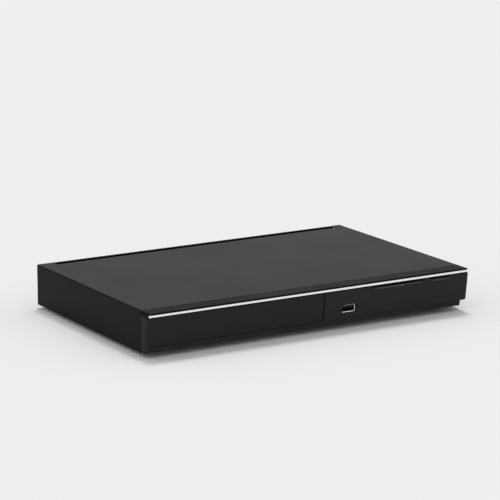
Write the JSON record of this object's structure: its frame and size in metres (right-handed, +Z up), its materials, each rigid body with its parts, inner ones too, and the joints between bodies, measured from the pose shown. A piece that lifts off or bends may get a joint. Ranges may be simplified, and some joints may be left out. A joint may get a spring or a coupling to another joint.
{
  "type": "disc player with tray",
  "caption": "Slim black disc player with a motorised loading tray, front keys, a USB port and rear sockets.",
  "frame": {"origin": "on the surface under the middle of the player's outer box", "axes": "+X to the right seen from the front, +Y to the rear, +Z up"},
  "size_m": [0.312, 0.21, 0.0385],
  "materials": {
    "black_painted_steel": "matte black paint",
    "black_plastic": "fine matte moulding",
    "front_plastic": "smooth satin moulding",
    "bright_bar": "bright plated",
    "zinc_steel": "zinc plated sheet",
    "socket_steel": "tinned",
    "rod_steel": "ground",
    "white_plastic": "acetal",
    "grey_plastic": "moulded",
    "clear_window": "translucent",
    "rubber": "matte",
    "green_board": "solder mask",
    "tan_board": "bare laminate",
    "yellow_tape": "wound and taped",
    "chip_black": "epoxy",
    "lens_clear": "coated",
    "pickup_metal": "die cast",
    "cable_white": "flat cable"
  },
  "bodies": {
    "cabinet": {"base_chassis": "zinc_steel", "top_cover": "black_painted_steel", "rear_panel": "black_painted_steel", "feet": "rubber", "cabinet_screws": "zinc_steel", "top_trim": "front_plastic", "bright_strip": "bright_bar", "front_bezel": "front_plastic", "status_window": "clear_window", "status_led": "clear_window", "remote_receiver": "chip_black", "key_board": "tan_board", "switch_bodies": "chip_black", "usb_board": "green_board", "usb_shell": "socket_steel", "usb_tongue": "grey_plastic", "loader_frame": "grey_plastic", "loading_motor": "socket_steel", "loading_belt": "rubber", "clamp_bridge": "zinc_steel", "main_board": "green_board", "main_chips": "chip_black", "power_board": "tan_board", "transformer": "yellow_tape", "capacitors": "chip_black", "mains_inlet": "black_plastic", "hdmi_socket": "socket_steel", "av_jacks": "socket_steel", "inner_cables": "cable_white", "inner_screws": "zinc_steel"},
    "tray": {"disc_tray": "black_plastic", "tray_front": "front_plastic"},
    "tray_gear": {"tray_gear": "white_plastic"},
    "pulley_gear": {"pulley_gear": "white_plastic"},
    "motor_pulley": {"motor_pulley": "white_plastic"},
    "clamper": {"clamper": "white_plastic", "clamper_magnet": "socket_steel"},
    "lift": {"lifting_frame": "black_plastic", "mechanism_deck": "zinc_steel", "deck_dampers": "rubber", "damper_screws": "zinc_steel", "guide_rods": "rod_steel", "spindle_motor": "chip_black", "sled_motor": "socket_steel"},
    "cam": {"cam_slider": "white_plastic"},
    "spindle": {"rotor_can": "socket_steel", "turntable": "black_plastic", "turntable_pad": "rubber"},
    "pickup": {"pickup_body": "pickup_metal", "pickup_rack": "white_plastic"},
    "lens": {"lens_holder": "black_plastic", "objective_lens": "lens_clear"},
    "sled_gear": {"sled_gear": "white_plastic"},
    "sled_pinion": {"sled_pinion": "white_plastic"},
    "power_key": {"power_button": "front_plastic", "power_plunger": "chip_black"},
    "open_key": {"open_button": "front_plastic", "open_plunger": "chip_black"},
    "play_key": {"play_button": "front_plastic", "play_plunger": "chip_black"}
  },
  "joints": [
    {"name": "tray_slide", "type": "slide", "parent": "cabinet", "child": "tray", "axis": [0, -1, 0], "range_m": [0, 0.13]},
    {"name": "tray_gear_spin", "type": "hinge", "parent": "cabinet", "child": "tray_gear", "pos_m": [-0.032, -0.078, 0.0146], "axis": [0, 0, 1], "range_deg": [-628.91, 8.21]},
    {"name": "pulley_gear_spin", "type": "hinge", "parent": "cabinet", "child": "pulley_gear", "pos_m": [-0.05, -0.078, 0.0146], "axis": [0, 0, 1], "range_deg": [-14.41, 1255.82]},
    {"name": "motor_pulley_spin", "type": "hinge", "parent": "cabinet", "child": "motor_pulley", "pos_m": [-0.104, -0.078, 0.0178], "axis": [0, 0, 1], "range_deg": [-45.02, 4347.44]},
    {"name": "deck_lift", "type": "hinge", "parent": "cabinet", "child": "lift", "pos_m": [-0.073, 0.0575, 0.0154], "axis": [1, 0, 0], "range_deg": [0, 4.2]},
    {"name": "cam_slide", "type": "slide", "parent": "cabinet", "child": "cam", "axis": [-1, 0, 0], "range_m": [0, 0.0146]},
    {"name": "turntable_spin", "type": "hinge", "parent": "lift", "child": "spindle", "pos_m": [-0.073, -0.032, 0.0217], "axis": [0, 0, 1], "continuous": true},
    {"name": "clamper_spin", "type": "hinge", "parent": "cabinet", "child": "clamper", "pos_m": [-0.073, -0.032, 0.029], "axis": [0, 0, 1], "continuous": true},
    {"name": "pickup_slide", "type": "slide", "parent": "lift", "child": "pickup", "axis": [0, 1, 0], "range_m": [0, 0.034]},
    {"name": "sled_gear_spin", "type": "hinge", "parent": "lift", "child": "sled_gear", "pos_m": [-0.111, -0.004, 0.0118], "axis": [0, 0, 1], "range_deg": [-6.87, 493.88]},
    {"name": "sled_pinion_spin", "type": "hinge", "parent": "lift", "child": "sled_pinion", "pos_m": [-0.11628, 0.00733, 0.0106], "axis": [0, 0, 1], "range_deg": [-1969.54, 21.48]},
    {"name": "lens_focus", "type": "slide", "parent": "pickup", "child": "lens", "axis": [0, 0, 1], "range_m": [-0.0007, 0.0007], "stiffness_N_per_m": 60},
    {"name": "power_press", "type": "slide", "parent": "cabinet", "child": "power_key", "axis": [0, 1, 0], "range_m": [0, 0.0006], "stiffness_N_per_m": 1200},
    {"name": "open_press", "type": "slide", "parent": "cabinet", "child": "open_key", "axis": [0, 1, 0], "range_m": [0, 0.0006], "stiffness_N_per_m": 1200},
    {"name": "play_press", "type": "slide", "parent": "cabinet", "child": "play_key", "axis": [0, 1, 0], "range_m": [0, 0.0006], "stiffness_N_per_m": 1200}
  ],
  "couplings": [
    {"joint": "tray_gear_spin", "follows": "tray_slide", "rad_per_m": -83.333},
    {"joint": "pulley_gear_spin", "follows": "tray_slide", "rad_per_m": 166.67},
    {"joint": "motor_pulley_spin", "follows": "tray_slide", "rad_per_m": 577.63},
    {"joint": "cam_slide", "follows": "deck_lift", "m_per_rad": 0.19099},
    {"joint": "clamper_spin", "follows": "turntable_spin", "ratio": 1},
    {"joint": "sled_gear_spin", "follows": "pickup_slide", "rad_per_m": 250},
    {"joint": "sled_pinion_spin", "follows": "pickup_slide", "rad_per_m": -1000}
  ]
}
